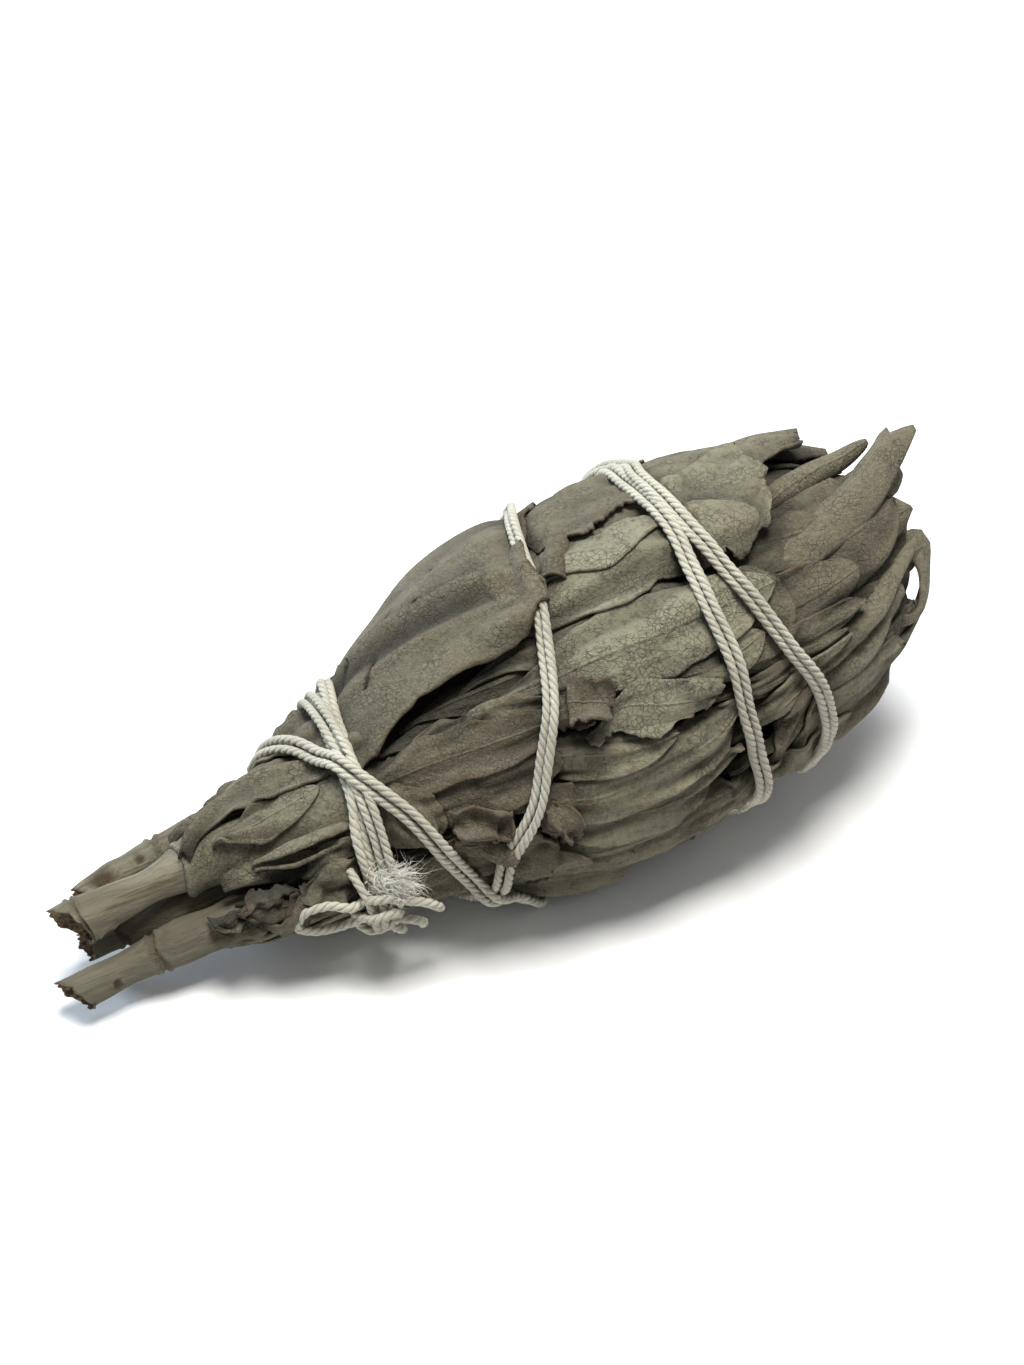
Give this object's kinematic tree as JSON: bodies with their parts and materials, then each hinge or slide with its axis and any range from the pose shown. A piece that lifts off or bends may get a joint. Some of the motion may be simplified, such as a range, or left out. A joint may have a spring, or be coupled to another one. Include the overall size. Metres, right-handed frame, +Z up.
{
  "type": "sage bunch",
  "caption": "Dried sage leaves on cut stems, laid together and bound into a tapered bunch with cotton twine.",
  "frame": {"origin": "under the middle of the bunch, on the surface that it lies on", "axes": "+X along the bunch from the cut stems to the leaf tips, +Z up"},
  "size_m": [0.1392, 0.058, 0.0522],
  "materials": {
    "sage_top": "dry felted leaf, matt",
    "sage_front": "dry felted leaf, matt",
    "sage_back": "dry felted leaf, matt",
    "sage_under": "dry felted leaf, matt",
    "cotton_twine": "twisted undyed cotton"
  },
  "bodies": {
    "root": {"leafy_stem_top": "sage_top", "leafy_stem_front": "sage_front", "leafy_stem_back": "sage_back", "leafy_stem_under": "sage_under", "cotton_twine": "cotton_twine"}
  },
  "joints": []
}
